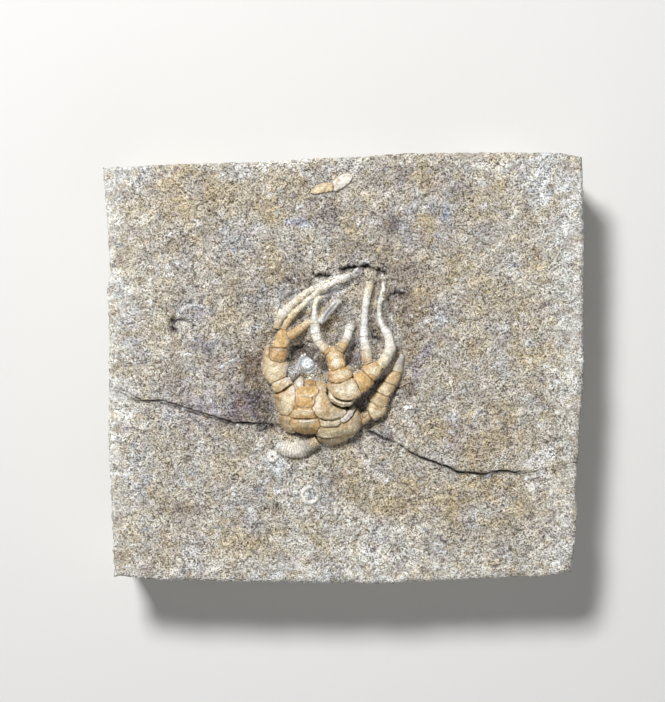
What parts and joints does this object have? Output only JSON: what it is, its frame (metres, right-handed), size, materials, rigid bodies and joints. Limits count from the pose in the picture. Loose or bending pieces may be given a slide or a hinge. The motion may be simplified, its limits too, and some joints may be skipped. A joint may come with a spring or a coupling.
{
  "type": "crinoid fossil",
  "caption": "Fossil crinoid crown in relief on a squarish slab of siltstone, with its plated cup, stem stub and branching arms raised from a hollow.",
  "frame": {"origin": "centre of the slab's footprint, on the flat underside that it lies on", "axes": "+Z out of the fossil's face, +X along the slab's longer side, +Y towards the tips of the arms"},
  "size_m": [0.097, 0.0872, 0.0229],
  "materials": {
    "siltstone": "rough fine-grained broken siltstone",
    "cup_tan": "smooth tan calcite with worn sutures",
    "orange_plate": "smooth orange-brown calcite",
    "cream_plate": "cream calcite, slightly polished by preparation",
    "bleached_arm": "chalky white calcite",
    "columnal_white": "pale blue-white calcite"
  },
  "bodies": {
    "root": {"matrix_slab": "siltstone", "cup": "cup_tan", "left_arm_base": "orange_plate", "left_arm_inner_branch": "orange_plate", "left_arm_outer_branch": "bleached_arm", "left_arm_middle_branch": "bleached_arm", "middle_arm_base": "cream_plate", "middle_arm_left_fork": "orange_plate", "middle_arm_right_fork": "orange_plate", "middle_arm_first": "bleached_arm", "middle_arm_strand": "bleached_arm", "middle_arm_second": "bleached_arm", "middle_arm_third": "bleached_arm", "middle_arm_fourth": "bleached_arm", "right_arm_base": "cup_tan", "right_arm_tip": "cup_tan", "stem": "cream_plate", "disc_columnal": "columnal_white", "small_columnal": "columnal_white", "ring_columnal": "columnal_white", "shell_fragment": "cream_plate"}
  },
  "joints": []
}
